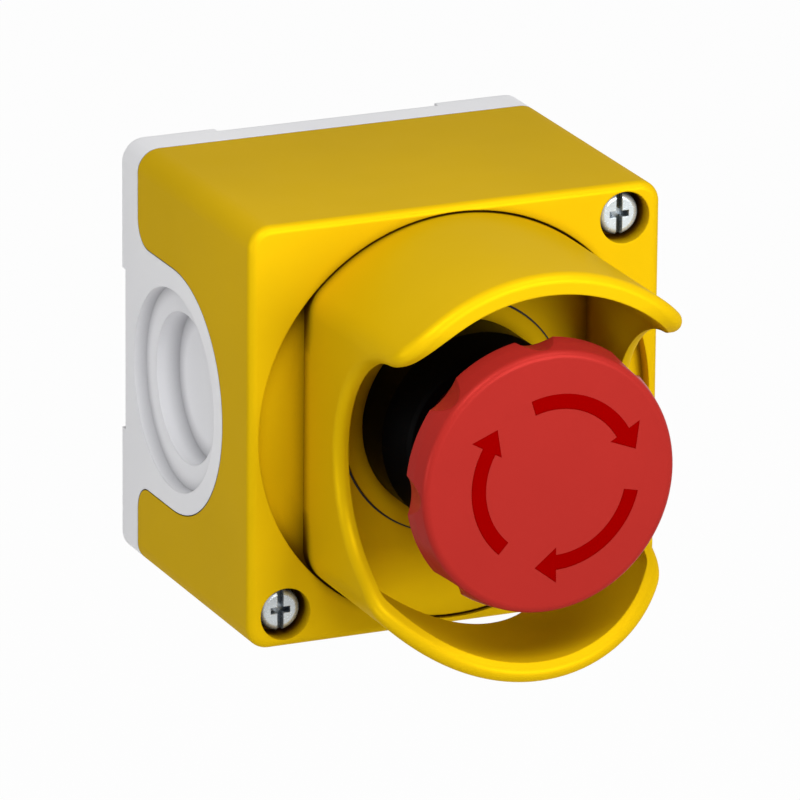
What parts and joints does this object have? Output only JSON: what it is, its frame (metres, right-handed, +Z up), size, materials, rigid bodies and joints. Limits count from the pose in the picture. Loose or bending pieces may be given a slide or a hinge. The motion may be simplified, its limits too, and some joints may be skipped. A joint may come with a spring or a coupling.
{
  "type": "guarded emergency stop push button",
  "caption": "Wall box with a mushroom-head emergency stop button behind a finger guard: press to open the contacts, twist clockwise to release.",
  "frame": {"origin": "middle of the wall face, between the two wall screw holes", "axes": "+Z up, +X to the right seen from the front, the button looks along -Y and the wall is at +Y"},
  "size_m": [0.0638, 0.08, 0.063],
  "materials": {
    "yellow_plastic": "satin",
    "grey_plastic": "satin",
    "red_plastic": "satin",
    "black_plastic": "satin",
    "inner_plastic": "matt",
    "seal_rubber": "matt",
    "zinc_steel": "bright zinc",
    "spring_steel": "drawn wire",
    "contact_brass": "plain"
  },
  "bodies": {
    "enclosure": {"base_box": "grey_plastic", "cover": "yellow_plastic", "cover_gasket": "seal_rubber", "cover_screws": "zinc_steel", "cover_screw_seals": "seal_rubber", "guard": "yellow_plastic", "operator_body": "black_plastic", "collar_gasket": "seal_rubber", "locking_nut": "black_plastic", "contact_block_body": "inner_plastic", "contact_block_cover": "black_plastic", "fixed_contacts": "contact_brass", "terminal_clamps": "zinc_steel", "terminal_screws": "zinc_steel", "return_spring": "spring_steel"},
    "plunger": {"plunger": "inner_plastic", "plunger_end": "inner_plastic", "contact_carrier": "inner_plastic", "contact_bridges": "contact_brass", "contact_springs": "spring_steel", "twist_spring": "spring_steel"},
    "head": {"mushroom_head": "red_plastic", "release_spindle": "inner_plastic", "release_cam": "inner_plastic"},
    "pawl_left": {"latch_pawl_left": "inner_plastic"},
    "pawl_right": {"latch_pawl_right": "inner_plastic"}
  },
  "joints": [
    {"name": "press", "type": "slide", "parent": "enclosure", "child": "plunger", "axis": [0, 1, 0], "range_m": [0, 0.004], "stiffness_N_per_m": 2000, "springref_m": -0.004, "deforming": ["return_spring"]},
    {"name": "twist", "type": "hinge", "parent": "plunger", "child": "head", "pos_m": [0, 0, 0], "axis": [0, 1, 0], "range_deg": [0, 45], "stiffness_Nm_per_rad": 0.05, "springref_deg": -22.92, "deforming": ["twist_spring"]},
    {"name": "pawl_left_slide", "type": "slide", "parent": "plunger", "child": "pawl_left", "axis": [1, 0, 0], "range_m": [0, 0.001]},
    {"name": "pawl_right_slide", "type": "slide", "parent": "plunger", "child": "pawl_right", "axis": [-1, 0, 0], "range_m": [0, 0.001]}
  ],
  "couplings": [
    {"joint": "pawl_left_slide", "follows": "twist", "m_per_rad": 0.0012732},
    {"joint": "pawl_right_slide", "follows": "twist", "m_per_rad": 0.0012732}
  ]
}
